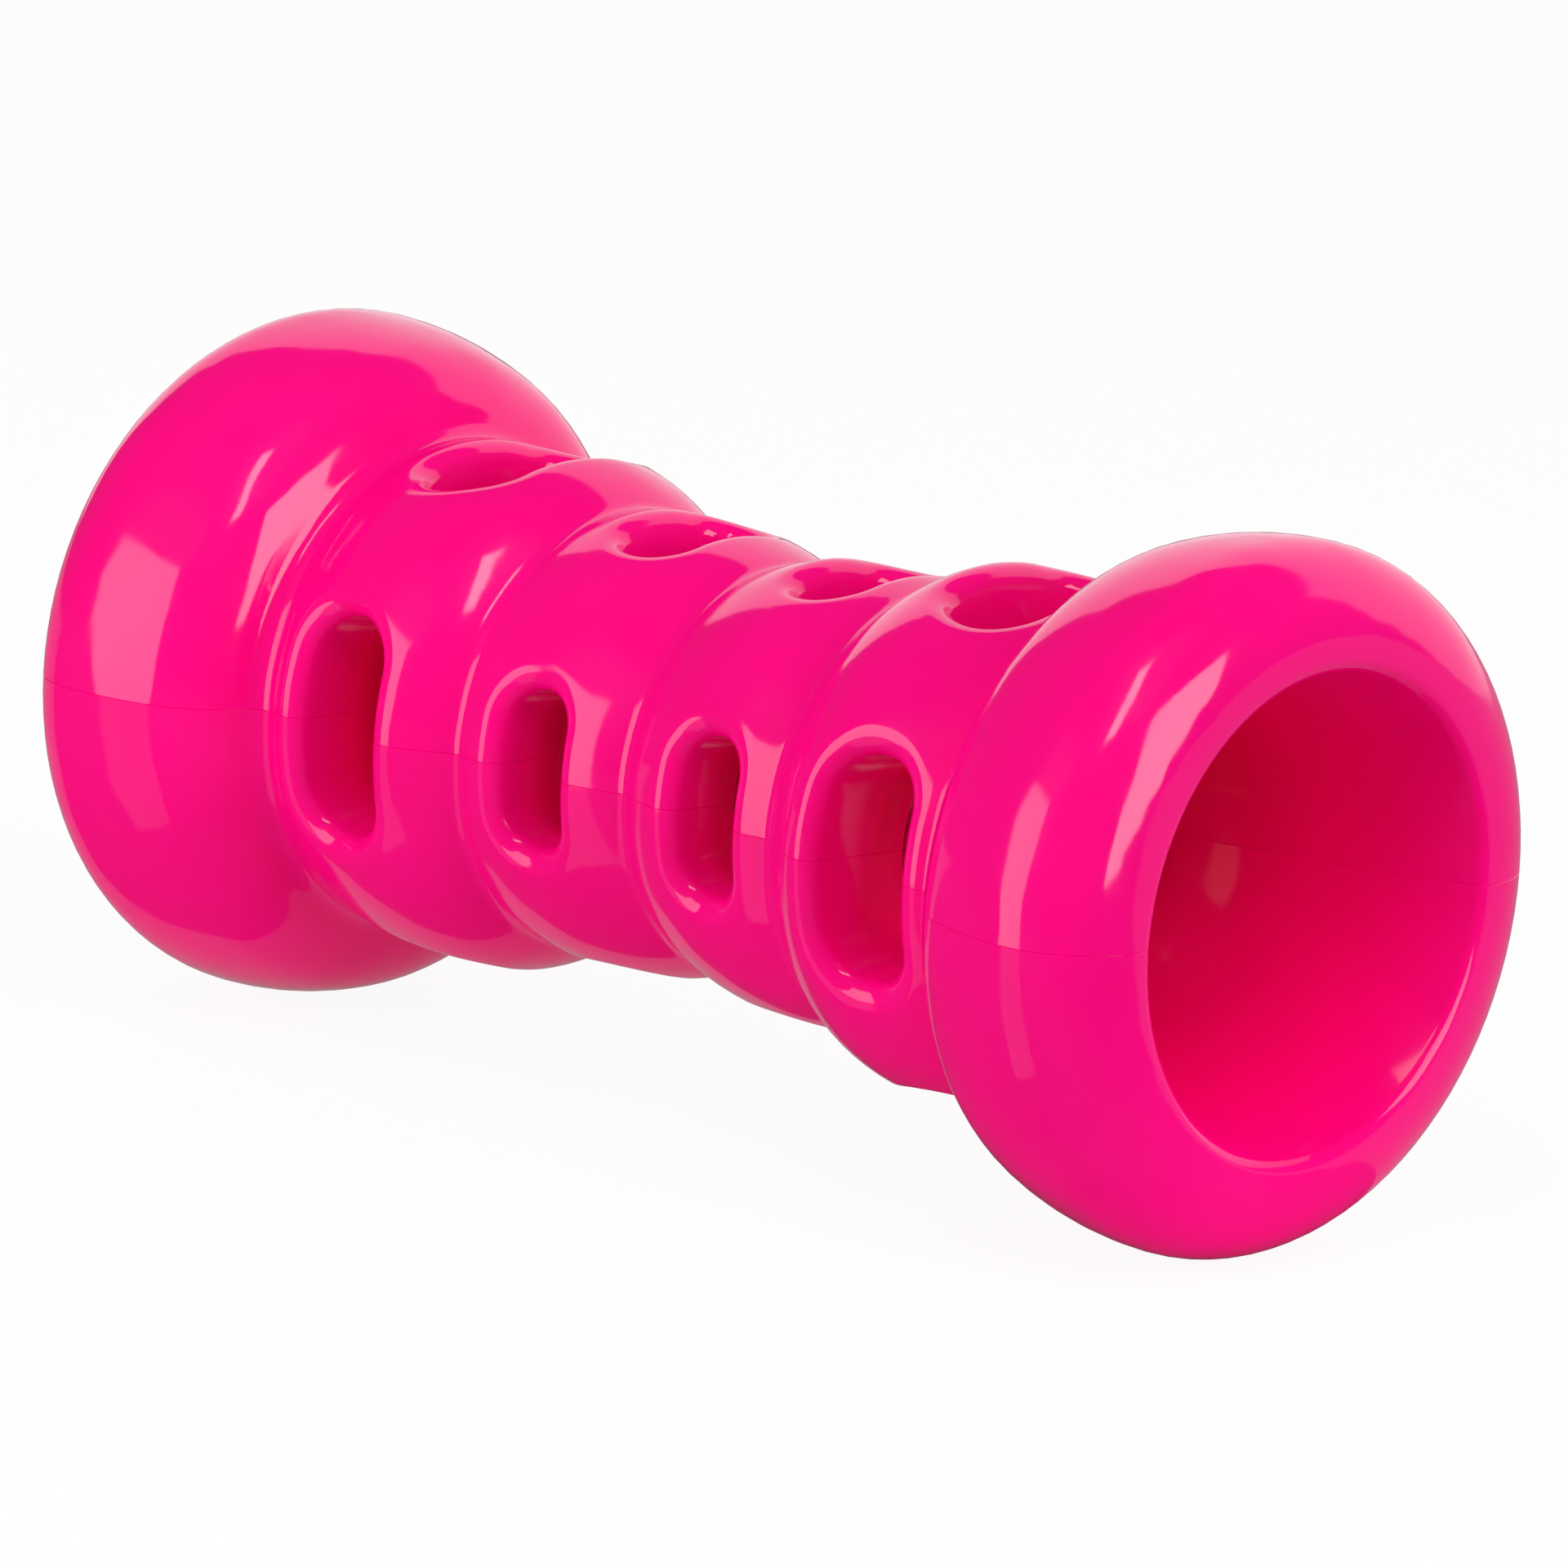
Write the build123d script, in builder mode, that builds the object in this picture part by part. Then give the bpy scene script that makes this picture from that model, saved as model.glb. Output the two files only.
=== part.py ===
"""Hollow rubber chew toy: two open bells joined by a ribbed, slotted barrel, made of two bonded halves."""

from build123d import *
import os

os.makedirs("parts", exist_ok=True)

# Sizes over all. The toy lies along X, and its soft rubber gives a little where the bells rest.
toy_length = 124.0
bell_radius = 30.0
bell_length = 22.2
outer_rib_radius = 23.0
rest_flat_depth = 0.15

# Barrel outline: how far the inner ribs and the valleys lie below the ribs beside them.
inner_rib_step = 3.2
waist_depth = 2.4
rib_valley_depth = 0.9
neck_depth = 2.3
valley_rounding = 1.8

# Barrel places, each as a share of the length from the waist to the neck of a bell.
inner_rib_share = 0.28
rib_valley_share = 0.46
outer_rib_share = 0.71
inner_slot_share = 0.255
outer_slot_share = 0.762

# Bell outline: the shoulder where the steep flank turns into the crown, and the rounded lip.
shoulder_from_end = 16.4
shoulder_drop = 1.5
lip_rounding = 7.8
lip_land_width = 1.6

# Bore: straight through the inner ribs, flaring gently from there to a mouth in each bell.
barrel_wall = 5.8
straight_bore_from_end = 40.0
mouth_rounding = 1.4

# Slots: a ring of four through each rib, long way round the barrel, narrowing towards the axis.
# Their width is a share of the length of the rib they go through, and their corners a share of the width.
inner_slot_length = 14.2
inner_slot_width_share = 0.39
outer_slot_length = 19.8
outer_slot_width_share = 0.44
slot_corner_share = 0.48
slot_draft_angle = 6
slot_rim_rounding = 1.8

# Places along the toy, from its middle.
half_length = toy_length / 2
neck_place = half_length - bell_length
inner_rib_place = inner_rib_share * neck_place
rib_valley_place = rib_valley_share * neck_place
outer_rib_place = outer_rib_share * neck_place
inner_slot_place = inner_slot_share * neck_place
outer_slot_place = outer_slot_share * neck_place
inner_slot_width = inner_slot_width_share * rib_valley_place
outer_slot_width = outer_slot_width_share * (neck_place - rib_valley_place)

# Radii, from the outer ribs inwards and from the bells' crowns to their mouths.
inner_rib_radius = outer_rib_radius - inner_rib_step
waist_radius = inner_rib_radius - waist_depth
rib_valley_radius = inner_rib_radius - rib_valley_depth
neck_radius = outer_rib_radius - neck_depth
bore_radius = waist_radius - barrel_wall
shoulder_radius = bell_radius - shoulder_drop
mouth_radius = bell_radius - lip_rounding - lip_land_width

# The seam between the halves is the level plane through the axis. The wall's section is drawn half way
# between two rows of slots, clear of their rims.
axis_height = bell_radius - rest_flat_depth
seam_plane = Plane.XY.offset(axis_height)
section_plane = Plane(seam_plane.origin, x_dir=(1, 0, 0), z_dir=(0, -1, 1))
toy_axis = Axis(seam_plane.origin, (1, 0, 0))
slot_rings = (
    (inner_slot_place, inner_slot_length, inner_slot_width, inner_rib_radius),
    (outer_slot_place, outer_slot_length, outer_slot_width, outer_rib_radius),
)


def mirrored(point):
    """The section point at the same radius on the other end of the toy."""
    return (-point[0], point[1])


def on_outer_skin(edge):
    """Whether an edge's middle lies nearer to the waist's radius, or beyond it, than to the bore."""
    middle = edge @ 0.5
    from_axis = Vector(0, middle.Y, middle.Z - axis_height).length
    return from_axis > (bore_radius + waist_radius) / 2


# Upper half moulding: the wall's section turned round the axis, then slotted and parted at the seam.
with BuildPart() as upper_half:
    with BuildSketch(section_plane) as wall_section:
        inner_crest = (inner_rib_place, inner_rib_radius)
        outer_crest = (outer_rib_place, outer_rib_radius)
        rib_valley = (rib_valley_place, rib_valley_radius)
        neck = (neck_place, neck_radius)
        shoulder = (half_length - shoulder_from_end, shoulder_radius)
        bell_crest = (half_length - lip_rounding, bell_radius)
        mouth_edge = (half_length, mouth_radius)
        with BuildLine():
            TangentArc(inner_crest, (0, waist_radius), tangent=(-1, 0))
            TangentArc(inner_crest, rib_valley, tangent=(1, 0))
            TangentArc(outer_crest, rib_valley, tangent=(-1, 0))
            TangentArc(outer_crest, neck, tangent=(1, 0))
            crown = TangentArc(bell_crest, shoulder, tangent=(-1, 0))
            TangentArc(crown @ 1, neck, tangent=crown % 1)
            lip = TangentArc(bell_crest, (half_length, bell_radius - lip_rounding), tangent=(1, 0))
            Line(lip @ 1, mouth_edge)
            straight_bore = Line((0, bore_radius), (half_length - straight_bore_from_end, bore_radius))
            TangentArc(straight_bore @ 1, mouth_edge, tangent=(1, 0))
            mirror(about=Plane.YZ)
        make_face()
        for valley in ((0, waist_radius), rib_valley, neck, mirrored(rib_valley), mirrored(neck)):
            fillet(wall_section.vertices().sort_by_distance(valley)[0], radius=valley_rounding)
        for edge_point in (mouth_edge, mirrored(mouth_edge)):
            fillet(wall_section.vertices().sort_by_distance(edge_point)[0], radius=mouth_rounding)
    revolve(axis=toy_axis)
    plain_wall = upper_half.part
    for outward in ((0, 0, 1), (0, -1, 0), (0, 0, -1), (0, 1, 0)):
        slot_plane = Plane(origin=seam_plane.origin, x_dir=(1, 0, 0), z_dir=outward)
        for place, length, width, rib_radius in slot_rings:
            with BuildSketch(slot_plane.offset(rib_radius)):
                with Locations((place, 0), (-place, 0)):
                    RectangleRounded(width, length, radius=slot_corner_share * width)
            extrude(amount=-rib_radius, taper=slot_draft_angle, mode=Mode.SUBTRACT)
    slot_edges = new_edges(plain_wall, combined=upper_half.part).filter_by(GeomType.LINE, reverse=True)
    fillet(slot_edges.filter_by(on_outer_skin), radius=slot_rim_rounding)
    split(bisect_by=seam_plane, keep=Keep.TOP)
upper_half.part.label = "upper_half"
export_step(upper_half.part, "parts/upper_half.step")

# Lower half moulding: the upper one turned over the seam, with a small flat under each bell.
with BuildPart() as lower_half:
    mirror(upper_half.part, about=seam_plane)
    split(bisect_by=Plane.XY, keep=Keep.TOP)
lower_half.part.label = "lower_half"
export_step(lower_half.part, "parts/lower_half.step")
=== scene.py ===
"""Looks of a hollow pink rubber chew toy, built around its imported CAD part, and its studio."""

import logging
import math
from collections.abc import Callable, Collection
from dataclasses import dataclass
from enum import Enum

import bmesh
import bpy
from bmesh.types import BMEdge, BMesh, BMFace, BMVert
from bpy.types import Material, Node, NodeSocket, NodeTree, Object
from mathutils import Matrix, Vector


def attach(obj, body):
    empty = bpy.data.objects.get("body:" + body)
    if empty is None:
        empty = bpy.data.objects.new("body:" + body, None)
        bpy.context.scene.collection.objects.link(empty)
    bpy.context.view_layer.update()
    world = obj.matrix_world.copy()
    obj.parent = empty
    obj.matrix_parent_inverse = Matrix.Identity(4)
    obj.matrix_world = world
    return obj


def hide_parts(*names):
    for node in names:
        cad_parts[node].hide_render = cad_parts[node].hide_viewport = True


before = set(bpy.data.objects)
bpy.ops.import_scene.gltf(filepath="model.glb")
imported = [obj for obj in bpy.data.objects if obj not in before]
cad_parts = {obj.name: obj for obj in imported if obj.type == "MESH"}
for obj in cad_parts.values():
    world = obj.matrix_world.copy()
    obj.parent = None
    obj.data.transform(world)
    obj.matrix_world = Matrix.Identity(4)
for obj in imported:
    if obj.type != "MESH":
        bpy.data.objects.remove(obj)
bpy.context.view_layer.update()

MM = 0.001
LOG = logging.getLogger("chew_toy")

SectionPoint = tuple[float, float]
"""A place along the toy's axis and a radius from it, in metres."""

BorderPoint = tuple[float, float]
"""A place along the toy's axis and an angle from a slot's middle."""

Skin = Callable[[float], float]
"""A skin's radius from the toy's axis, for a place along it."""

Span = tuple[float, float]
"""The two ends of a range."""

Colour = tuple[float, float, float]
"""Shares of red, green and blue light."""

FULL: Span = (0.0, 1.0)
WHITE: Colour = (1.0, 1.0, 1.0)


class HalfName(Enum):
    """The two mouldings of the toy, named as their CAD nodes are."""

    UPPER = "upper_half"
    LOWER = "lower_half"


class Sum(Enum):
    """What a material's nodes work out from one or two numbers."""

    LARGER = "MAXIMUM"
    PRODUCT = "MULTIPLY"
    DIFFERENCE = "SUBTRACT"
    SIZE = "ABSOLUTE"


@dataclass(frozen=True)
class Circle:
    """A circle in the wall's section."""

    x: float
    r: float
    radius: float

    def over(self, x: float) -> float:
        """Radius from the toy's axis of the circle's outer side at a place along it."""
        return self.r + math.sqrt(max(self.radius**2 - (x - self.x) ** 2, 0.0))

    def under(self, x: float) -> float:
        """Radius from the toy's axis of the circle's inner side at a place along it."""
        return self.r - math.sqrt(max(self.radius**2 - (x - self.x) ** 2, 0.0))

    def towards(self, other: "Circle") -> SectionPoint:
        """The point of the circle that faces another circle's centre.

        Args:
            other: the circle to face.

        Returns:
            The point.
        """
        run, rise = other.x - self.x, other.r - self.r
        share = self.radius / math.hypot(run, rise)
        return (self.x + run * share, self.r + rise * share)

    def away_from(self, other: "Circle") -> SectionPoint:
        """The point of the circle that faces away from another circle's centre."""
        x, r = self.towards(other)
        return (2 * self.x - x, 2 * self.r - r)


def crest_circle(crest: SectionPoint, end: SectionPoint) -> Circle:
    """Circle that is level at a crest and passes through a lower point.

    Args:
        crest: the highest point.
        end: a point beside and below it.

    Returns:
        The circle, with its centre straight below the crest.
    """
    run, drop = end[0] - crest[0], crest[1] - end[1]
    radius = (run**2 + drop**2) / (2 * drop)
    return Circle(crest[0], crest[1] - radius, radius)


def valley_circle(left: Circle, right: Circle, rounding: float) -> Circle:
    """Circle that rests in the valley between two circles.

    Args:
        left: the circle nearer to the toy's middle.
        right: the circle nearer to its end.
        rounding: the radius of the circle to place.

    Returns:
        The circle that touches both from outside, on the side away from the toy's axis.
    """
    run, rise = right.x - left.x, right.r - left.r
    apart = math.hypot(run, rise)
    from_left, from_right = left.radius + rounding, right.radius + rounding
    along = (apart**2 + from_left**2 - from_right**2) / (2 * apart)
    aside = math.sqrt(from_left**2 - along**2)
    x = left.x + (along * run - aside * rise) / apart
    r = left.r + (along * rise + aside * run) / apart
    return Circle(x, r, rounding)


@dataclass(frozen=True)
class SlotRing:
    """A ring of four slots through one rib, with the stretch of skin and of bore that it is cut in."""

    place: float
    length: float
    width: float
    corner: float
    crest: float
    left: float
    right: float
    bore_left: float


@dataclass(frozen=True)
class ToyOutline:
    """The wall's section, in the CAD part's sizes."""

    bell_radius: float = 30.0 * MM
    rest_flat_depth: float = 0.15 * MM
    half_length: float = 62.0 * MM
    bell_length: float = 22.2 * MM
    outer_rib_radius: float = 23.0 * MM
    inner_rib_step: float = 3.2 * MM
    waist_depth: float = 2.4 * MM
    rib_valley_depth: float = 0.9 * MM
    neck_depth: float = 2.3 * MM
    valley_rounding: float = 1.8 * MM
    shoulder_from_end: float = 16.4 * MM
    shoulder_drop: float = 1.5 * MM
    lip_rounding: float = 7.8 * MM
    lip_land_width: float = 1.6 * MM
    barrel_wall: float = 5.8 * MM
    straight_bore_from_end: float = 40.0 * MM
    mouth_rounding: float = 1.4 * MM
    inner_slot_length: float = 14.2 * MM
    outer_slot_length: float = 19.8 * MM
    slot_draft: float = math.radians(6.0)
    waist_margin: float = 1.5 * MM
    inner_valley_margin: float = 1.5 * MM
    outer_valley_margin: float = 1.3 * MM
    neck_margin: float = 2.2 * MM
    inner_rib_share: float = 0.28
    rib_valley_share: float = 0.46
    outer_rib_share: float = 0.71
    inner_slot_share: float = 0.255
    outer_slot_share: float = 0.762
    inner_slot_width_share: float = 0.39
    outer_slot_width_share: float = 0.44
    slot_corner_share: float = 0.48

    @property
    def axis_height(self) -> float:
        """How high the axis lies when the bells rest on their flats."""
        return self.bell_radius - self.rest_flat_depth

    @property
    def neck(self) -> SectionPoint:
        """Where the last rib meets the bell."""
        return (self.half_length - self.bell_length, self.outer_rib_radius - self.neck_depth)

    @property
    def inner_crest(self) -> SectionPoint:
        """Top of the rib beside the waist."""
        return (self.inner_rib_share * self.neck[0], self.outer_rib_radius - self.inner_rib_step)

    @property
    def outer_crest(self) -> SectionPoint:
        """Top of the rib beside the bell."""
        return (self.outer_rib_share * self.neck[0], self.outer_rib_radius)

    @property
    def rib_valley(self) -> SectionPoint:
        """Where the two ribs meet."""
        return (self.rib_valley_share * self.neck[0], self.inner_crest[1] - self.rib_valley_depth)

    @property
    def waist(self) -> SectionPoint:
        """The toy's middle."""
        return (0.0, self.inner_crest[1] - self.waist_depth)

    @property
    def shoulder(self) -> SectionPoint:
        """Where the bell's steep flank turns into its crown."""
        return (self.half_length - self.shoulder_from_end, self.bell_radius - self.shoulder_drop)

    @property
    def bell_crest(self) -> SectionPoint:
        """The bell's widest place."""
        return (self.half_length - self.lip_rounding, self.bell_radius)

    @property
    def bore_radius(self) -> float:
        """Radius of the straight stretch of the bore."""
        return self.waist[1] - self.barrel_wall

    @property
    def mouth_radius(self) -> float:
        """Radius of the bore at the toy's end."""
        return self.bell_radius - self.lip_rounding - self.lip_land_width

    @property
    def rib_circles(self) -> tuple[Circle, Circle, Circle, Circle]:
        """The arcs that the two ribs are made of.

        Returns:
            Two circles for each rib, from the waist outwards.
        """
        return (
            crest_circle(self.inner_crest, self.waist),
            crest_circle(self.inner_crest, self.rib_valley),
            crest_circle(self.outer_crest, self.rib_valley),
            crest_circle(self.outer_crest, self.neck),
        )

    @property
    def crown_circle(self) -> Circle:
        """The bell's arc from its shoulder to its widest place."""
        return crest_circle(self.bell_crest, self.shoulder)

    @property
    def flank_circle(self) -> Circle:
        """The bell's steep arc from its neck to its shoulder.

        Returns:
            The circle that goes on from the crown's arc without a bend.
        """
        crown, shoulder = self.crown_circle, self.shoulder
        inward = ((crown.x - shoulder[0]) / crown.radius, (crown.r - shoulder[1]) / crown.radius)
        gap = (shoulder[0] - self.neck[0], shoulder[1] - self.neck[1])
        radius = -(gap[0] ** 2 + gap[1] ** 2) / (2 * (gap[0] * inward[0] + gap[1] * inward[1]))
        return Circle(shoulder[0] + radius * inward[0], shoulder[1] + radius * inward[1], radius)

    @property
    def flare_circle(self) -> Circle:
        """The arc that opens the bore towards the mouth.

        Returns:
            The circle, level where the straight bore ends.
        """
        run, rise = self.straight_bore_from_end, self.mouth_radius - self.bore_radius
        radius = (run**2 + rise**2) / (2 * rise)
        return Circle(self.half_length - run, self.bore_radius + radius, radius)

    @property
    def waist_circle(self) -> Circle:
        """The rounding at the waist."""
        rib = self.rib_circles[0]
        return valley_circle(Circle(-rib.x, rib.r, rib.radius), rib, self.valley_rounding)

    @property
    def rib_valley_circle(self) -> Circle:
        """The rounding between the two ribs."""
        return valley_circle(self.rib_circles[1], self.rib_circles[2], self.valley_rounding)

    @property
    def neck_circle(self) -> Circle:
        """The rounding between the last rib and the bell."""
        return valley_circle(self.rib_circles[3], self.flank_circle, self.valley_rounding)

    @property
    def lip_circle(self) -> Circle:
        """The arc of the bell's rounded lip."""
        return Circle(self.bell_crest[0], self.bell_radius - self.lip_rounding, self.lip_rounding)

    @property
    def mouth_edge_circle(self) -> Circle:
        """The rounding between the lip's land and the bore.

        Returns:
            The circle that touches the toy's end and the flaring bore.
        """
        flare, x = self.flare_circle, self.half_length - self.mouth_rounding
        r = Circle(flare.x, flare.r, flare.radius - self.mouth_rounding).under(x)
        return Circle(x, r, self.mouth_rounding)

    @property
    def inner_ring(self) -> SlotRing:
        """The ring of slots through the rib beside the waist.

        Returns:
            The ring on the positive side of the waist.
        """
        width = self.inner_slot_width_share * self.rib_valley[0]
        return SlotRing(
            place=self.inner_slot_share * self.neck[0],
            length=self.inner_slot_length,
            width=width,
            corner=self.slot_corner_share * width,
            crest=self.inner_crest[1],
            left=self.waist_margin,
            right=self.rib_valley[0] - self.inner_valley_margin,
            bore_left=0.0,
        )

    @property
    def outer_ring(self) -> SlotRing:
        """The ring of slots through the rib beside the bell.

        Returns:
            The ring on the positive side of the waist.
        """
        width = self.outer_slot_width_share * (self.neck[0] - self.rib_valley[0])
        return SlotRing(
            place=self.outer_slot_share * self.neck[0],
            length=self.outer_slot_length,
            width=width,
            corner=self.slot_corner_share * width,
            crest=self.outer_crest[1],
            left=self.rib_valley[0] + self.outer_valley_margin,
            right=self.neck[0] - self.neck_margin,
            bore_left=self.rib_valley[0],
        )

    def skin_radius(self, x: float) -> float:
        """Radius of the barrel's outer skin, without the valleys' roundings.

        Args:
            x: a place between the waist and the neck.

        Returns:
            The radius there.
        """
        ends = (self.inner_crest[0], self.rib_valley[0], self.outer_crest[0])
        passed = sum(x > end for end in ends)
        return self.rib_circles[passed].over(x)

    def bore_radius_at(self, x: float) -> float:
        """Radius of the bore.

        Args:
            x: a place between the waist and the mouth.

        Returns:
            The radius there.
        """
        if x <= self.half_length - self.straight_bore_from_end:
            return self.bore_radius
        return self.flare_circle.under(x)


def only(kind: type, items: list) -> list:
    """The items of one kind, such as vertices, out of new geometry."""
    return [item for item in items if isinstance(item, kind)]


def linked(vert: BMVert, others: Collection[BMVert]) -> BMVert:
    """The vertex out of some others that shares an edge with a vertex."""
    reached = (edge.other_vert(vert) for edge in vert.link_edges)
    return next(other for other in reached if other in others)


def put_in_scene(bm: BMesh, name: str) -> Object:
    """Turns a mesh into an object of the scene.

    Args:
        bm: the mesh, which is used up.
        name: the object's name.

    Returns:
        The object, at the origin.
    """
    mesh = bpy.data.meshes.new(name)
    bm.to_mesh(mesh)
    bm.free()
    made = bpy.data.objects.new(name, mesh)
    bpy.context.scene.collection.objects.link(made)
    return made


class SectionPen:
    """Draws lines and arcs of the wall's section as a chain of edges, on the front of the seam plane."""

    def __init__(self, axis_height: float, point: SectionPoint) -> None:
        """Puts the pen down.

        Args:
            axis_height: how high the toy's axis lies.
            point: where in the section the chain starts.
        """
        self.axis_height = axis_height
        self.bm: BMesh = bmesh.new()
        self.tip: BMVert = self.bm.verts.new(self.place(point))

    def place(self, point: SectionPoint) -> Vector:
        """Where a point of the section lies in the toy's frame."""
        return Vector((point[0], -point[1], self.axis_height))

    def line(self, point: SectionPoint, steps: int) -> None:
        """Draws a straight line from the tip.

        Args:
            point: where the line ends.
            steps: how many edges it has.
        """
        run = (self.place(point) - self.tip.co) / steps
        for _ in range(steps):
            made = bmesh.ops.extrude_vert_indiv(self.bm, verts=[self.tip])
            made["verts"][0].co = self.tip.co + run
            self.tip = made["verts"][0]

    def arc(self, circle: Circle, end: SectionPoint, steps: int) -> None:
        """Draws an arc from the tip round a circle's centre.

        Args:
            circle: the circle that the arc is part of.
            end: where the arc ends.
            steps: how many edges it has.
        """
        centre = self.place((circle.x, circle.r))
        begin, finish = self.tip.co - centre, self.place(end) - centre
        turn = math.atan2(begin.cross(finish).z, begin.dot(finish))
        made = bmesh.ops.spin(
            self.bm, geom=[self.tip], cent=centre, axis=(0, 0, 1), dvec=(0, 0, 0), angle=turn, steps=steps
        )
        self.tip = only(BMVert, made["geom_last"])[0]

    def turn_round(self, steps: int) -> BMesh:
        """Spins the chain once round the toy's axis.

        Args:
            steps: how many faces lie round the axis.

        Returns:
            The band of skin that the chain sweeps.
        """
        bmesh.ops.spin(
            self.bm,
            geom=[*self.bm.verts, *self.bm.edges],
            cent=(0, 0, self.axis_height),
            axis=(1, 0, 0),
            dvec=(0, 0, 0),
            angle=math.tau,
            steps=steps,
            use_merge=True,
        )
        return self.bm


@dataclass
class SlottedCell:
    """A quarter of a rib: loops run from its border over the skin, into its slot and out on the bore."""

    outline: ToyOutline
    ring: SlotRing
    slots_around: int = 4
    around_steps: int = 24
    along_steps: int = 16
    skin_rows: int = 6
    rim_rows: int = 9
    wall_rows: int = 5
    bore_rim_rows: int = 3
    bore_rows: int = 4
    rim_rounding: float = 1.8 * MM
    bore_rim_rounding: float = 0.5 * MM
    probe_share: float = 0.1
    settling_rounds: int = 12

    def border(self, left: float, right: float) -> list[BorderPoint]:
        """Points of the cell's edge.

        Args:
            left: the end nearer to the waist.
            right: the end nearer to the bell.

        Returns:
            The points in order, from the middle of the right side.
        """
        half_angle, half_steps = math.pi / self.slots_around, self.around_steps // 2
        side = [half_angle * step / half_steps for step in range(-half_steps, half_steps)]
        top = [right + (left - right) * step / self.along_steps for step in range(self.along_steps)]
        points = [(right, angle) for angle in side[half_steps:]]
        points += [(x, half_angle) for x in top]
        points += [(left, -angle) for angle in side]
        points += [(left + right - x, -half_angle) for x in top]
        points += [(right, angle) for angle in side[:half_steps]]
        return points

    def slot_point(self, share: float, inset: float) -> tuple[Vector, Vector]:
        """Point on the slot's rounded outline, as seen looking into it.

        Args:
            share: how far round the outline, from the middle of its right side.
            inset: how far the outline has narrowed there.

        Returns:
            The point, as place along the axis and width, and the direction away from the slot.
        """
        signs = (Vector((1, 1)), Vector((-1, 1)), Vector((-1, -1)), Vector((1, -1)))
        corner = self.ring.corner
        side = self.ring.length / 2 - corner
        end = self.ring.width / 2 - corner
        bend = corner * math.pi / 2
        turn, rest = divmod(share * len(signs), 1)
        along = (1 - rest if turn % 2 else rest) * (side + bend + end)
        if along <= side:
            centre, away = Vector((end, along)), Vector((1, 0))
        elif along <= side + bend:
            angle = (along - side) / corner
            centre, away = Vector((end, side)), Vector((math.cos(angle), math.sin(angle)))
        else:
            centre, away = Vector((side + bend + end - along, side)), Vector((0, 1))
        sign = signs[int(turn) % len(signs)]
        point = centre + away * (corner - inset)
        return point * sign + Vector((self.ring.place, 0)), away * sign

    def on_skin(self, share: float, skin: Skin) -> Vector:
        """Where the slot's tapered wall meets a skin.

        Args:
            share: how far round the slot's outline.
            skin: the skin to meet.

        Returns:
            The point as place along the axis, width and height above the axis.
        """
        height = self.ring.crest
        for _ in range(self.settling_rounds):
            point = self.in_wall(share, height)
            height = math.sqrt(skin(point.x) ** 2 - point.y**2)
        return Vector((point.x, point.y, height))

    def beside(self, share: float, corner: Vector, skin: Skin, reach: float) -> Vector:
        """A point of a skin a little outside the slot's edge.

        Args:
            share: how far round the slot's outline.
            corner: the point of the slot's edge there.
            skin: the skin that the point lies on.
            reach: how far from the edge it lies.

        Returns:
            The point.
        """
        _, away = self.slot_point(share, 0.0)
        point = corner.xy + away * reach
        return Vector((point.x, point.y, math.sqrt(skin(point.x) ** 2 - point.y**2)))

    def in_wall(self, share: float, height: float) -> Vector:
        """A point of the slot's wall.

        Args:
            share: how far round the slot's outline.
            height: how high above the axis.

        Returns:
            The point.
        """
        inset = (self.ring.crest - height) * math.tan(self.outline.slot_draft)
        point, _ = self.slot_point(share, inset)
        return Vector((point.x, point.y, height))

    @staticmethod
    def skin_run(edge: BorderPoint, end: Vector, skin: Skin, rows: int) -> list[Vector]:
        """Points over a skin from the cell's border to the edge of the slot's rounding.

        Args:
            edge: the border's point.
            end: the last point.
            skin: the skin that they lie on.
            rows: how many rows of faces lie between.

        Returns:
            The points, with the border's first and without the last.
        """
        end_angle = math.atan2(end.y, end.z)
        points = []
        for row in range(rows):
            share = row / rows
            x = edge[0] + (end.x - edge[0]) * share
            angle = edge[1] + (end_angle - edge[1]) * share
            points.append(Vector((x, skin(x) * math.sin(angle), skin(x) * math.cos(angle))))
        return points

    @staticmethod
    def rounded(begin: Vector, corner: Vector, end: Vector, rows: int) -> list[Vector]:
        """Points of an arc that rounds a corner.

        Args:
            begin: where the arc leaves the corner's first side.
            corner: the sharp corner.
            end: where the arc reaches its second side.
            rows: how many rows of faces lie along the arc.

        Returns:
            The points, without the last.
        """
        weight = math.sin((begin - corner).angle(end - corner) / 2)
        points = []
        for row in range(rows):
            share = row / rows
            parts = (1 - share) ** 2, 2 * weight * share * (1 - share), share**2
            points.append((begin * parts[0] + corner * parts[1] + end * parts[2]) / sum(parts))
        return points

    def leg(self, share: float, corner: Vector, skin: Skin, rounding: float) -> float:
        """How far a rounding reaches along the skin and the wall from the slot's sharp edge.

        Args:
            share: how far round the slot's outline.
            corner: the point of the sharp edge there.
            skin: the skin beside the edge.
            rounding: the rounding's radius.

        Returns:
            The length of each of its two sides.
        """
        step = self.probe_share * rounding
        on_skin = self.beside(share, corner, skin, step) - corner
        down_wall = self.in_wall(share, corner.z - step) - corner
        return rounding / math.tan(on_skin.angle(down_wall) / 2)

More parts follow.
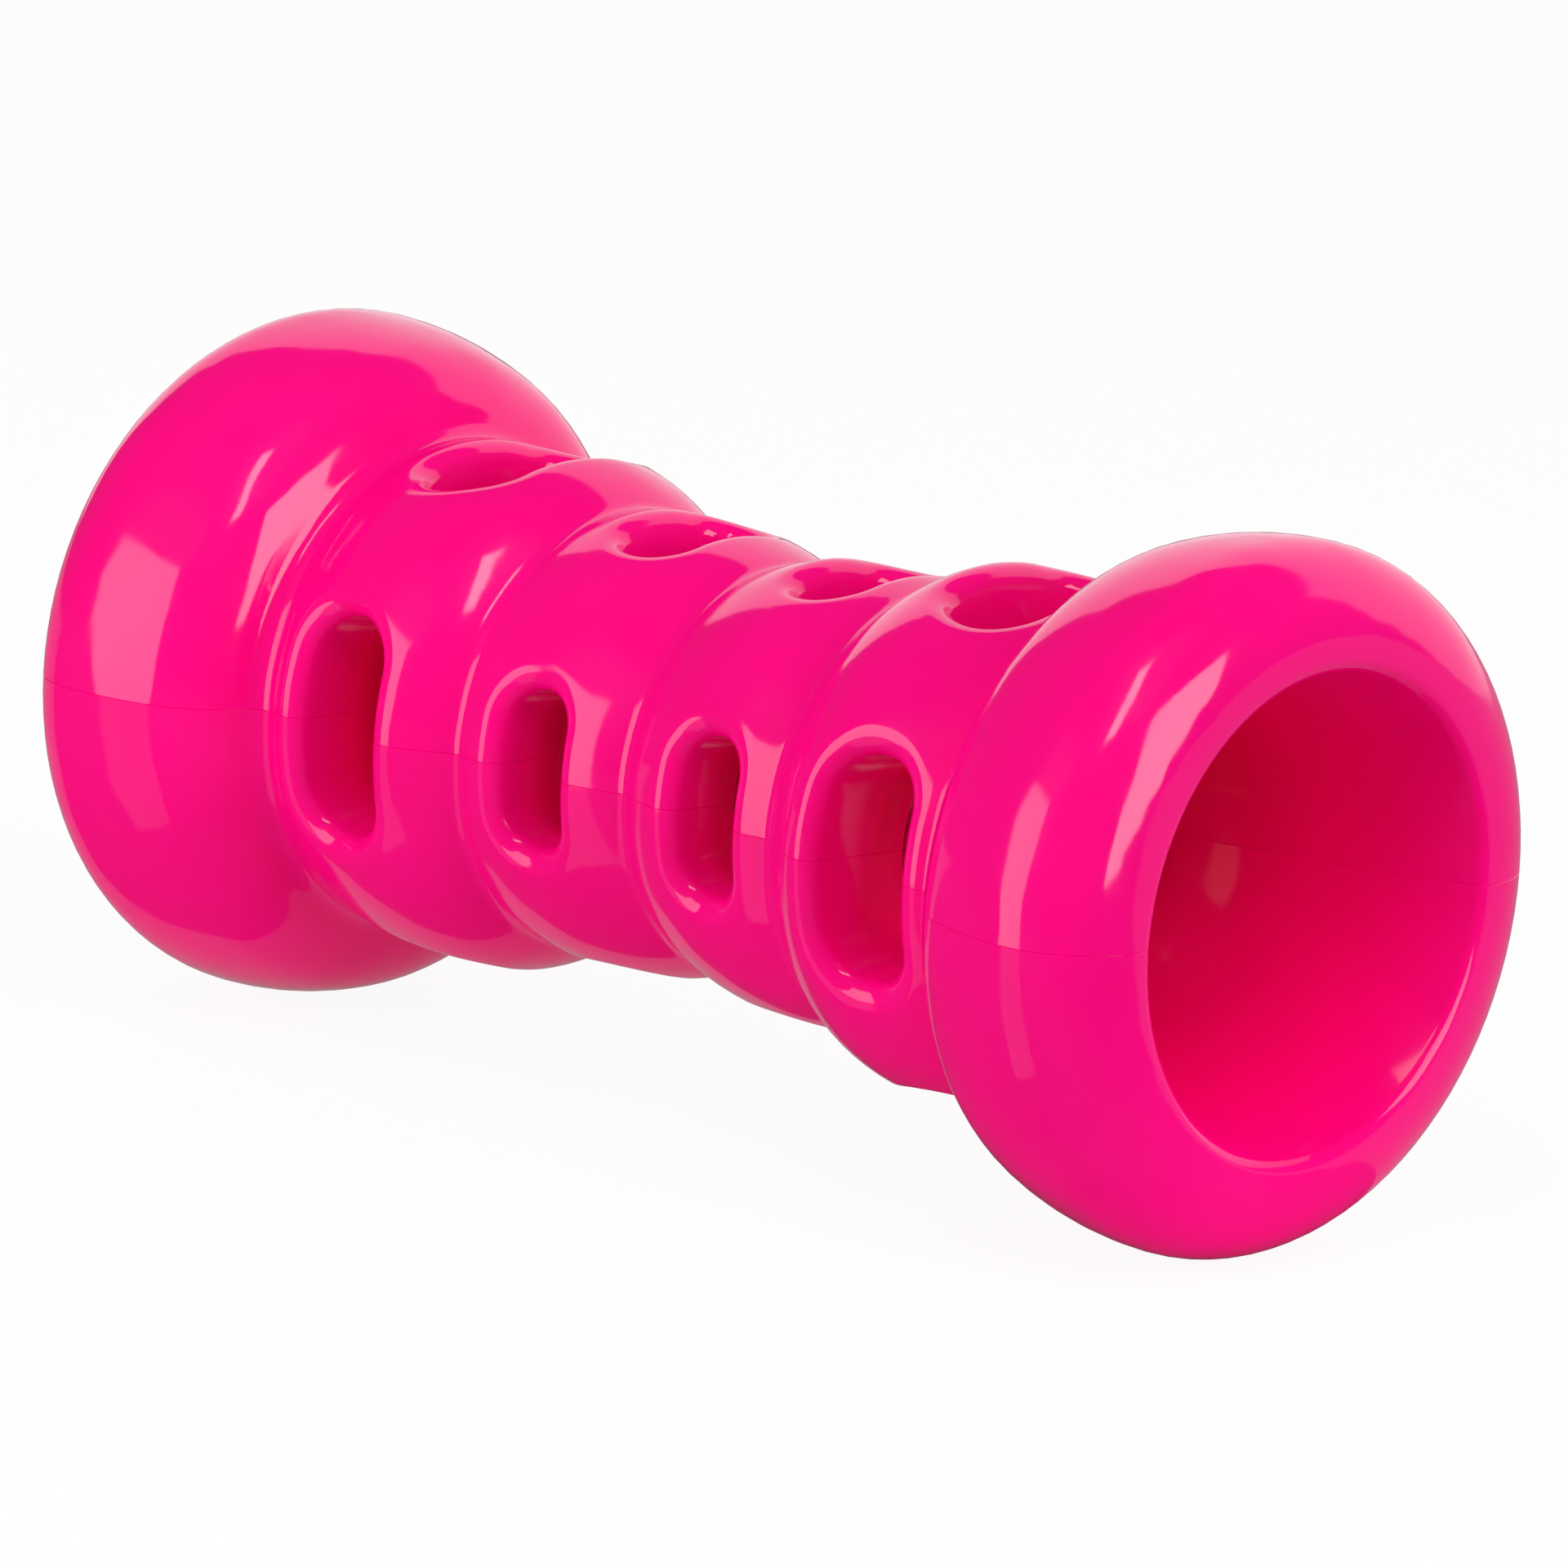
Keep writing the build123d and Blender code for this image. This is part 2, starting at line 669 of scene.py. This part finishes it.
    def thread(self, share: float, edge: BorderPoint, bore_edge: BorderPoint) -> list[Vector]:
        """One line of points from the cell's border through the slot to its border on the bore.

        Args:
            share: how far round the slot.
            edge: the border's point on the outer skin.
            bore_edge: the border's point on the bore.

        Returns:
            The points in the cell's own frame: along the axis, across the slot and outwards.
        """
        outer, bore = self.outline.skin_radius, self.outline.bore_radius_at
        rim, bore_rim = self.on_skin(share, outer), self.on_skin(share, bore)
        leg = self.leg(share, rim, outer, self.rim_rounding)
        rim_start = self.beside(share, rim, outer, leg)
        rim_end = self.in_wall(share, rim.z - leg)
        bore_start = self.in_wall(share, bore_rim.z + self.bore_rim_rounding)
        bore_end = self.beside(share, bore_rim, bore, self.bore_rim_rounding)
        points = self.skin_run(edge, rim_start, outer, self.skin_rows)
        points += self.rounded(rim_start, rim, rim_end, self.rim_rows)
        points += [rim_end.lerp(bore_start, row / self.wall_rows) for row in range(self.wall_rows)]
        points += self.rounded(bore_start, bore_rim, bore_end, self.bore_rim_rows)
        inward = self.skin_run(bore_edge, bore_end, bore, self.bore_rows)
        return [*points, bore_end, *reversed(inward)]

    def build(self) -> BMesh:
        """Builds the ring's four cells.

        Returns:
            A mesh of the slotted rib, open at its two borders on the skin and on the bore.
        """
        edges = self.border(self.ring.left, self.ring.right)
        bore_edges = self.border(self.ring.bore_left, self.ring.right)
        count = len(edges)
        pairs = enumerate(zip(edges, bore_edges))
        threads = [self.thread(index / count, *pair) for index, pair in pairs]
        bm = bmesh.new()
        loop = bmesh.ops.create_circle(bm, cap_ends=False, radius=self.ring.width, segments=count)["verts"]
        loop_edges = list(bm.edges)
        for vert, points in zip(loop, threads):
            vert.co = points[0]
        for row in range(1, len(threads[0])):
            made = bmesh.ops.extrude_edge_only(bm, edges=loop_edges)["geom"]
            fresh = set(only(BMVert, made))
            loop_edges = only(BMEdge, made)
            loop = [linked(vert, fresh) for vert in loop]
            for vert, points in zip(loop, threads):
                vert.co = points[row]
        axis, copies = Vector((0, 0, self.outline.axis_height)), self.slots_around - 1
        bmesh.ops.translate(bm, vec=axis, verts=bm.verts)
        bmesh.ops.spin(
            bm,
            geom=[*bm.verts, *bm.edges, *bm.faces],
            cent=axis,
            axis=(1, 0, 0),
            dvec=(0, 0, 0),
            angle=math.tau * copies / self.slots_around,
            steps=copies,
            use_duplicate=True,
        )
        return bm


@dataclass
class ToyWall:
    """The toy's whole wall as one closed mesh, before it is parted into halves."""

    outline: ToyOutline
    around_steps: int = 96
    waist_steps: int = 3
    rib_foot_steps: int = 1
    rib_steps: int = 2
    valley_steps: int = 5
    neck_steps: int = 5
    flank_steps: int = 10
    crown_steps: int = 8
    lip_steps: int = 16
    land_steps: int = 2
    mouth_edge_steps: int = 8
    flare_steps: int = 14
    weld: float = 0.004 * MM

    def bell(self) -> BMesh:
        """One bell, from its neck over the lip and down the bore.

        Returns:
            The bell's band of skin.
        """
        shape, border = self.outline, self.outline.outer_ring.right
        rib, neck, flank = shape.rib_circles[3], shape.neck_circle, shape.flank_circle
        lip, edge, flare = shape.lip_circle, shape.mouth_edge_circle, shape.flare_circle
        pen = SectionPen(shape.axis_height, (border, shape.skin_radius(border)))
        pen.arc(rib, rib.towards(neck), self.rib_foot_steps)
        pen.arc(neck, flank.towards(neck), self.neck_steps)
        pen.arc(flank, shape.shoulder, self.flank_steps)
        pen.arc(shape.crown_circle, shape.bell_crest, self.crown_steps)
        pen.arc(lip, (shape.half_length, lip.r), self.lip_steps)
        pen.line((shape.half_length, edge.r), self.land_steps)
        pen.arc(edge, edge.away_from(flare), self.mouth_edge_steps)
        pen.arc(flare, (border, shape.bore_radius_at(border)), self.flare_steps)
        return pen.turn_round(self.around_steps)

    def waist(self) -> BMesh:
        """Half of the waist, up to the skin that the first slots are cut in.

        Returns:
            The waist's band of skin.
        """
        shape, border = self.outline, self.outline.inner_ring.left
        rib, waist = shape.rib_circles[0], shape.waist_circle
        pen = SectionPen(shape.axis_height, (0.0, waist.under(0.0)))
        pen.arc(waist, rib.towards(waist), self.waist_steps)
        pen.arc(rib, (border, shape.skin_radius(border)), self.rib_steps)
        return pen.turn_round(self.around_steps)

    def rib_valley(self) -> BMesh:
        """The valley between the two ribs.

        Returns:
            The valley's band of skin.
        """
        shape = self.outline
        begin, end = shape.inner_ring.right, shape.outer_ring.left
        left, right, valley = shape.rib_circles[1], shape.rib_circles[2], shape.rib_valley_circle
        pen = SectionPen(shape.axis_height, (begin, shape.skin_radius(begin)))
        pen.arc(left, left.towards(valley), self.rib_foot_steps)
        pen.arc(valley, right.towards(valley), self.valley_steps)
        pen.arc(right, (end, shape.skin_radius(end)), self.rib_steps)
        return pen.turn_round(self.around_steps)

    def build(self) -> BMesh:
        """Builds the wall, with the bells' flats at the level of the floor.

        Returns:
            A closed mesh of the whole toy, in the toy's frame.
        """
        bm = bmesh.new()
        bands = [self.bell(), self.waist(), self.rib_valley()]
        for ring in (self.outline.inner_ring, self.outline.outer_ring):
            bands.append(SlottedCell(self.outline, ring).build())
        for band in bands:
            mesh = bpy.data.meshes.new("band")
            band.to_mesh(mesh)
            band.free()
            bm.from_mesh(mesh)
            bpy.data.meshes.remove(mesh)
        bmesh.ops.remove_doubles(bm, verts=bm.verts, dist=self.weld)
        bmesh.ops.mirror(
            bm, geom=[*bm.verts, *bm.edges, *bm.faces], matrix=Matrix(), merge_dist=self.weld, axis="X"
        )
        bmesh.ops.remove_doubles(bm, verts=bm.verts, dist=self.weld)
        for vert in bm.verts:
            vert.co.z = max(vert.co.z, 0.0)
        bmesh.ops.recalc_face_normals(bm, faces=bm.faces)
        return bm


def spread(tree: NodeTree, value: NodeSocket, given: Span, wanted: Span) -> NodeSocket:
    """Adds a node that carries one range of numbers over to another.

    Args:
        tree: the material's nodes.
        value: the number to carry over.
        given: the range that it is kept within.
        wanted: what the ends of that range become.

    Returns:
        The new number.
    """
    node = tree.nodes.new("ShaderNodeMapRange")
    for name, number in zip(("From Min", "From Max", "To Min", "To Max"), (*given, *wanted)):
        node.inputs[name].default_value = number
    tree.links.new(value, node.inputs["Value"])
    return node.outputs["Result"]


def work_out(tree: NodeTree, kind: Sum, first: NodeSocket, second: NodeSocket | float = 0.0) -> NodeSocket:
    """Adds a node that works out a number.

    Args:
        tree: the material's nodes.
        kind: what to work out.
        first: the first number.
        second: the second number, which the size of a number does without.

    Returns:
        The new number.
    """
    node = tree.nodes.new("ShaderNodeMath")
    node.operation = kind.value
    tree.links.new(first, node.inputs[0])
    if isinstance(second, float):
        node.inputs[1].default_value = second
    else:
        tree.links.new(second, node.inputs[1])
    return node.outputs[0]


def blend(tree: NodeTree, low: Colour, high: Colour, share: NodeSocket) -> NodeSocket:
    """Adds a node that goes from one colour to another.

    Args:
        tree: the material's nodes.
        low: the colour where the share is 0.
        high: the colour where the share is 1.
        share: how far to go.

    Returns:
        The blended colour.
    """
    node = tree.nodes.new("ShaderNodeMix")
    node.data_type = "RGBA"
    node.inputs["A"].default_value = (*low, 1.0)
    node.inputs["B"].default_value = (*high, 1.0)
    tree.links.new(share, node.inputs["Factor"])
    return node.outputs["Result"]


@dataclass(frozen=True)
class Grain:
    """A soft, irregular pattern."""

    scale: float
    detail: float

    def add(self, tree: NodeTree, place: NodeSocket) -> NodeSocket:
        """Adds the pattern to a material.

        Args:
            tree: the material's nodes.
            place: the toy's own coordinates.

        Returns:
            A number that wanders about one half.
        """
        node = tree.nodes.new("ShaderNodeTexNoise")
        node.inputs["Scale"].default_value = self.scale
        node.inputs["Detail"].default_value = self.detail
        tree.links.new(place, node.inputs["Vector"])
        return node.outputs["Fac"]


@dataclass(frozen=True)
class RubberFinish:
    """Glossy moulded rubber, duller in the bore than on the skin, with painted shade that makes the bore
    redder and darker.

    It changes over a depth of the wall, from a radius that grows evenly from the waist to the ends.
    """

    outline: ToyOutline
    name: str = "pink_rubber"
    colour: Colour = (0.93, 0.001, 0.21)
    cloud_colour: Colour = (0.89, 0.001, 0.19)
    # Painted shade: the bore is tinted redder, standing in for light bounced between its walls.
    bore_painted_shade_tint: Colour = (1.0, 1.0, 0.68)
    # Painted shade: the bore is darker far inside, where less light reaches.
    deep_painted_shade_tint: Colour = (0.75, 1.0, 0.55)
    change_radii: Span = (11.9 * MM, 17.3 * MM)
    change_depth: float = 4.0 * MM
    # Radii over which the painted shade far inside the bore fades out.
    deep_painted_shade_radii: Span = (11.8 * MM, 15.2 * MM)
    shine: Span = (0.06, 0.5)
    shine_shares: Span = (0.6, 1.0)
    roughness: Span = (0.07, 0.12)
    ior: float = 1.45
    clouds: Grain = Grain(45.0, 3.0)
    cloud_shares: Span = (0.35, 0.6)
    gloss: Grain = Grain(160.0, 4.0)
    gloss_shares: Span = (0.3, 0.7)
    sinks: Grain = Grain(70.0, 1.6)
    sink_height: float = 0.6 * MM
    peel: Grain = Grain(1400.0, 2.0)
    peel_height: float = 0.0012 * MM

    def build(self) -> Material:
        """Makes the material.

        Returns:
            A material that follows the toy's own coordinates.
        """
        material = bpy.data.materials.new(self.name)
        material.use_nodes = True
        tree = material.node_tree
        shader = tree.nodes["Principled BSDF"]
        shader.inputs["IOR"].default_value = self.ior
        place = tree.nodes.new("ShaderNodeTexCoord").outputs["Object"]
        radius = self.axis_distance(tree, place)
        outer = self.outer_share(tree, place, radius)
        gloss = self.gloss.add(tree, place)
        looks = {
            "Base Color": self.colour_with_painted_shade(tree, place, radius, outer),
            "Roughness": spread(tree, gloss, self.gloss_shares, self.roughness),
            "Specular IOR Level": spread(tree, outer, self.shine_shares, self.shine),
            "Normal": self.uneven_skin(tree, place),
        }
        for name, value in looks.items():
            tree.links.new(value, shader.inputs[name])
        return material

    def axis_distance(self, tree: NodeTree, place: NodeSocket) -> NodeSocket:
        """Adds nodes for the distance from the toy's axis.

        Args:
            tree: the material's nodes.
            place: the toy's own coordinates.

        Returns:
            The distance in metres.
        """
        across = tree.nodes.new("ShaderNodeVectorMath")
        across.operation = "MULTIPLY_ADD"
        across.inputs[1].default_value = (0.0, 1.0, 1.0)
        across.inputs[2].default_value = (0.0, 0.0, -self.outline.axis_height)
        tree.links.new(place, across.inputs[0])
        radius = tree.nodes.new("ShaderNodeVectorMath")
        radius.operation = "LENGTH"
        tree.links.new(across.outputs["Vector"], radius.inputs[0])
        return radius.outputs["Value"]

    def outer_share(self, tree: NodeTree, place: NodeSocket, radius: NodeSocket) -> NodeSocket:
        """Adds nodes that tell the outer skin from the bore.

        Args:
            tree: the material's nodes.
            place: the toy's own coordinates.
            radius: the distance from the toy's axis.

        Returns:
            A share that rises from 0 in the bore to 1 at the outer skin.
        """
        parts = tree.nodes.new("ShaderNodeSeparateXYZ")
        tree.links.new(place, parts.inputs["Vector"])
        along = work_out(tree, Sum.SIZE, parts.outputs["X"])
        start = spread(tree, along, (0.0, self.outline.half_length), self.change_radii)
        depth = work_out(tree, Sum.DIFFERENCE, radius, start)
        return spread(tree, depth, (0.0, self.change_depth), FULL)

    def colour_with_painted_shade(
        self, tree: NodeTree, place: NodeSocket, radius: NodeSocket, outer: NodeSocket
    ) -> NodeSocket:
        """Adds nodes for the rubber's clouded colour, with painted shade: redder in the bore, as bounced
        light makes it, and darker far inside it.

        Args:
            tree: the material's nodes.
            place: the toy's own coordinates.
            radius: the distance from the toy's axis.
            outer: the share that is 0 in the bore and 1 at the outer skin.

        Returns:
            The colour.
        """
        clouds = spread(tree, self.clouds.add(tree, place), self.cloud_shares, FULL)
        colour = blend(tree, self.cloud_colour, self.colour, clouds)
        deep_shade_share = spread(tree, radius, self.deep_painted_shade_radii, FULL)
        # Painted shade: the bore is tinted redder and its far inside darker, in place of shade and bounced
        # light.
        for painted_shade_colour, share in ((self.bore_painted_shade_tint, outer), (self.deep_painted_shade_tint, deep_shade_share)):
            tinted = tree.nodes.new("ShaderNodeMix")
            tinted.data_type = "RGBA"
            tinted.blend_type = "MULTIPLY"
            tinted.inputs["Factor"].default_value = 1.0
            tree.links.new(colour, tinted.inputs["A"])
            tree.links.new(blend(tree, painted_shade_colour, WHITE, share), tinted.inputs["B"])
            colour = tinted.outputs["Result"]
        return colour

    def uneven_skin(self, tree: NodeTree, place: NodeSocket) -> NodeSocket:
        """Adds nodes for the skin's shallow sinks and its fine peel.

        Args:
            tree: the material's nodes.
            place: the toy's own coordinates.

        Returns:
            The way that the uneven skin faces.
        """
        coarse = self.bump(tree, self.sinks.add(tree, place), self.sink_height)
        fine = self.bump(tree, self.peel.add(tree, place), self.peel_height)
        tree.links.new(coarse.outputs["Normal"], fine.inputs["Normal"])
        return fine.outputs["Normal"]

    @staticmethod
    def bump(tree: NodeTree, pattern: NodeSocket, height: float) -> Node:
        """Adds a bump of a real height.

        Args:
            tree: the material's nodes.
            pattern: where the skin is low and high.
            height: how far the pattern's 1 lies above its 0.

        Returns:
            The bump's node.
        """
        node = tree.nodes.new("ShaderNodeBump")
        node.inputs["Strength"].default_value = 1.0
        node.inputs["Distance"].default_value = height
        tree.links.new(pattern, node.inputs["Height"])
        return node


@dataclass
class HalfMoulding:
    """One of the toy's two bonded halves."""

    name: HalfName
    outline: ToyOutline
    groove: float = 0.06 * MM
    snap: float = 0.002 * MM

    def build(self, wall: BMesh) -> Object:
        """Parts a half off the toy's wall and closes it along the seam.

        Args:
            wall: the whole wall, which is left as it is.

        Returns:
            The half, at the origin, with its place in its mesh.
        """
        bm = wall.copy()
        upper = self.name is HalfName.UPPER
        bmesh.ops.bisect_plane(
            bm,
            geom=[*bm.verts, *bm.edges, *bm.faces],
            dist=self.snap,
            plane_co=(0, 0, self.outline.axis_height),
            plane_no=(0, 0, 1),
            clear_inner=upper,
            clear_outer=not upper,
        )
        self.close_seam(bm, 1.0 if upper else -1.0)
        return put_in_scene(bm, self.name.value + "_skin")

    def close_seam(self, bm: BMesh, outward: float) -> None:
        """Rolls the half's open edge in a little and fills the seam's face.

        Args:
            bm: the half's open mesh.
            outward: 1 where the half lies above the seam, -1 where it lies below.
        """
        bm.normal_update()
        for face in bm.faces:
            face.smooth = True
        rim = [edge for edge in bm.edges if edge.is_boundary]
        inward = {vert: -vert.normal.copy() for edge in rim for vert in edge.verts}
        made = bmesh.ops.extrude_edge_only(bm, edges=rim)["geom"]
        for vert in only(BMVert, made):
            source = linked(vert, inward)
            vert.co = source.co + Vector((*inward[source].xy, 0.0)).normalized() * self.groove
        for vert in inward:
            vert.co.z += outward * self.groove
        seam_edges = [edge for edge in bm.edges if edge.is_boundary]
        for edge in (*rim, *seam_edges):
            edge.smooth = False
        bmesh.ops.triangle_fill(bm, edges=seam_edges, use_beauty=True, normal=(0, 0, -outward))

    def dress(self, piece: Object, rubber: Material) -> None:
        """Gives the half its finish and its place in the frame.

        Args:
            piece: the half.
            rubber: its finish.
        """
        piece.data.materials.append(rubber)
        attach(piece, "root")
        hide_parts(self.name.value)


@dataclass(frozen=True)
class Lamp:
    """A soft studio lamp that faces the toy, and that its gloss may or may not show."""

    name: str
    place: tuple[float, float, float]
    width: float
    height: float
    watts: float
    mirrored: bool = True

    def build(self, aim: Vector) -> None:
        """Adds the lamp to the scene.

        Args:
            aim: the point it faces.
        """
        data = bpy.data.lights.new(self.name, "AREA")
        data.shape = "RECTANGLE"
        data.size = self.width
        data.size_y = self.height
        data.energy = self.watts
        lamp = bpy.data.objects.new(self.name, data)
        lamp.location = self.place
        lamp.rotation_euler = (Vector(self.place) - aim).to_track_quat("Z", "Y").to_euler()
        lamp.visible_glossy = self.mirrored
        bpy.context.scene.collection.objects.link(lamp)


@dataclass
class Studio:
    """Pale floor, soft lamps and the camera at the photograph's viewing angle.

    The lamp below the floor is the window's dim image in it, which only the toy's gloss shows.
    """

    aim: Vector
    world_strength: float = 0.35
    glossy_strength: float = 0.05
    floor_radius: float = 4.0
    floor_sides: int = 64
    floor_glow: float = 0.93
    floor_lift: float = 0.33
    floor_tone: float = 0.9
    card_tone: float = 0.2
    card_edge: Span = (0.07, 0.11)
    sheet_glow: float = 0.3
    wall_glow: float = 1.0
    backdrop_distance: float = 1.0
    backdrop_width: float = 2.6
    backdrop_height: float = 1.3
    backdrop_drop: float = 0.5 * MM
    backdrop_turn: float = math.radians(20.0)
    azimuth: float = math.radians(46.6258)
    elevation: float = math.radians(15.4726)
    lean: float = math.radians(3.8)
    roll: float = math.radians(0.8867)
    distance: float = 1.06928
    sight: float = 20.0
    sensor_width: float = 36.0
    focal_pixels: float = 15510.5
    image_pixels: float = 1920.0
    centre_pixels: tuple[float, float] = (939.94, 942.08)
    lamps: tuple[Lamp, ...] = (
        Lamp("front_window", (-0.23, -0.57, 0.12), 0.33, 0.46, 1.3),
        Lamp("window_image", (-0.23, -0.57, -0.33), 0.33, 0.5, 0.2),
        Lamp("front_fill", (-0.2, -0.65, 0.4), 0.5, 0.5, 1.25, mirrored=False),
        Lamp("top_fill", (0.3, -0.3, 0.83), 0.55, 0.55, 1.3, mirrored=False),
        Lamp("top_strip", (0.29, -0.38, 0.79), 0.1, 0.42, 0.9),
        Lamp("right_softbox", (0.75, 0.03, 0.3), 0.42, 0.5, 3.5),
    )

    def build(self) -> None:
        """Sets up the floor, the world, the lamps and the camera."""
        bpy.context.scene.view_settings.view_transform = "Standard"
        self.lay_floor()
        self.hang_backdrop()
        self.light_world()
        for lamp in self.lamps:
            lamp.build(self.aim)
        self.set_camera()

    def lay_floor(self) -> None:
        """Adds a pale floor that the toy's gloss doesn't show."""
        bm = bmesh.new()
        bmesh.ops.create_circle(bm, cap_ends=True, segments=self.floor_sides, radius=self.floor_radius)
        floor = put_in_scene(bm, "floor")
        floor.data.materials.append(self.floor_paint())
        floor.visible_glossy = False

    def floor_paint(self) -> Material:
        """Makes the floor's paint, which is lit a little from below and keeps a faint shadow.

        Beside the near mouth it throws back little light, as if a grey card lay there out of sight.

        Returns:
            The material.
        """
        material = bpy.data.materials.new("pale_floor")
        material.use_nodes = True
        tree = material.node_tree
        tree.nodes.remove(tree.nodes["Principled BSDF"])
        place = tree.nodes.new("ShaderNodeTexCoord")
        parts = tree.nodes.new("ShaderNodeSeparateXYZ")
        tree.links.new(place.outputs["Object"], parts.inputs["Vector"])
        tone = spread(tree, parts.outputs["X"], self.card_edge, (self.floor_tone, self.card_tone))
        path = tree.nodes.new("ShaderNodeLightPath")
        seen = work_out(tree, Sum.PRODUCT, path.outputs["Is Camera Ray"], self.floor_glow)
        lift = work_out(tree, Sum.PRODUCT, tone, self.floor_lift)
        paint = tree.nodes.new("ShaderNodeBsdfDiffuse")
        tree.links.new(work_out(tree, Sum.LARGER, tone, seen), paint.inputs["Color"])
        glow = tree.nodes.new("ShaderNodeEmission")
        mix = tree.nodes.new("ShaderNodeMixShader")
        tree.links.new(work_out(tree, Sum.LARGER, seen, lift), mix.inputs["Fac"])
        tree.links.new(paint.outputs[0], mix.inputs[1])
        tree.links.new(glow.outputs[0], mix.inputs[2])
        tree.links.new(mix.outputs[0], tree.nodes["Material Output"].inputs["Surface"])
        return material

    def hang_backdrop(self) -> None:
        """Lays and hangs a white paper behind the toy, for its gloss to show and no camera to see."""
        bm = bmesh.new()
        bmesh.ops.create_grid(bm, x_segments=1, y_segments=1, size=0.5)
        rear = max(bm.edges, key=lambda edge: edge.verts[0].co.y + edge.verts[1].co.y)
        wall = bmesh.ops.extrude_edge_only(bm, edges=[rear])["geom"]
        size = Matrix.Diagonal((self.backdrop_width, self.backdrop_distance, 1.0, 1.0))
        bmesh.ops.transform(bm, matrix=size, verts=bm.verts)
        rise = Vector((0.0, 0.0, self.backdrop_height))
        bmesh.ops.translate(bm, vec=rise, verts=only(BMVert, wall))
        for face in only(BMFace, wall):
            face.material_index = 1
        turn = Matrix.Rotation(self.backdrop_turn, 4, "Z")
        move = Matrix.Translation((0.0, self.backdrop_distance / 2, -self.backdrop_drop))
        bmesh.ops.transform(bm, matrix=turn @ move, verts=bm.verts)
        paper = put_in_scene(bm, "backdrop")
        for name, strength in (("dim_sheet", self.sheet_glow), ("white_wall", self.wall_glow)):
            paper.data.materials.append(self.glowing_paper(name, strength))
        paper.visible_camera = False

    @staticmethod
    def glowing_paper(name: str, strength: float) -> Material:
        """Makes a paper that glows evenly.

        Args:
            name: the material's name.
            strength: how bright it is, with 1 as white.

        Returns:
            The material.
        """
        material = bpy.data.materials.new(name)
        material.use_nodes = True
        tree = material.node_tree
        tree.nodes.remove(tree.nodes["Principled BSDF"])
        glow = tree.nodes.new("ShaderNodeEmission")
        glow.inputs["Strength"].default_value = strength
        tree.links.new(glow.outputs[0], tree.nodes["Material Output"].inputs["Surface"])
        return material

    def light_world(self) -> None:
        """Fills the studio with an even light, white where the camera sees it."""
        world = bpy.data.worlds.new("studio")
        bpy.context.scene.world = world
        world.use_nodes = True
        tree = world.node_tree
        background = tree.nodes["Background"]
        background.inputs["Color"].default_value = (*WHITE, 1.0)
        path = tree.nodes.new("ShaderNodeLightPath")
        strengths = (self.world_strength, self.glossy_strength)
        unseen = spread(tree, path.outputs["Is Glossy Ray"], FULL, strengths)
        strength = work_out(tree, Sum.LARGER, path.outputs["Is Camera Ray"], unseen)
        tree.links.new(strength, background.inputs["Strength"])

    def set_camera(self) -> None:
        """Puts the camera where the photograph was taken from."""
        level = math.cos(self.elevation)
        back = Vector(
            (level * math.cos(self.azimuth), -level * math.sin(self.azimuth), math.sin(self.elevation))
        )
        right = Vector((math.sin(self.azimuth), math.cos(self.azimuth), 0.0))
        axes = Matrix((right, back.cross(right), back)).transposed()
        turn = Matrix.Rotation(self.lean, 3, "X") @ axes @ Matrix.Rotation(self.roll, 3, "Z")
        data = bpy.data.cameras.new("camera")
        data.sensor_width = self.sensor_width
        data.lens = self.focal_pixels / self.image_pixels * self.sensor_width
        data.shift_x = 0.5 - self.centre_pixels[0] / self.image_pixels
        data.shift_y = self.centre_pixels[1] / self.image_pixels - 0.5
        data.clip_end = self.sight
        camera = bpy.data.objects.new("camera", data)
        camera.matrix_world = Matrix.Translation(self.aim + turn.col[2] * self.distance) @ turn.to_4x4()
        bpy.context.scene.collection.objects.link(camera)
        bpy.context.scene.camera = camera


def report_sizes() -> None:
    """Logs a line; it works out no boxes and writes none."""
    LOG.info("boxes written")


def main() -> None:
    """Builds the toy's two halves and the studio, and reports each piece."""
    logging.basicConfig(level=logging.INFO, format="%(name)s: %(message)s")
    outline = ToyOutline()
    rubber = RubberFinish(outline).build()
    wall = ToyWall(outline).build()
    LOG.info("wall: %d faces", len(wall.faces))
    for name in HalfName:
        half = HalfMoulding(name, outline)
        piece = half.build(wall)
        half.dress(piece, rubber)
        LOG.info("%s: %d faces", piece.name, len(piece.data.polygons))
    wall.free()
    Studio(Vector((0.0, 0.0, outline.axis_height))).build()
    report_sizes()


if __name__ == "__main__":
    main()
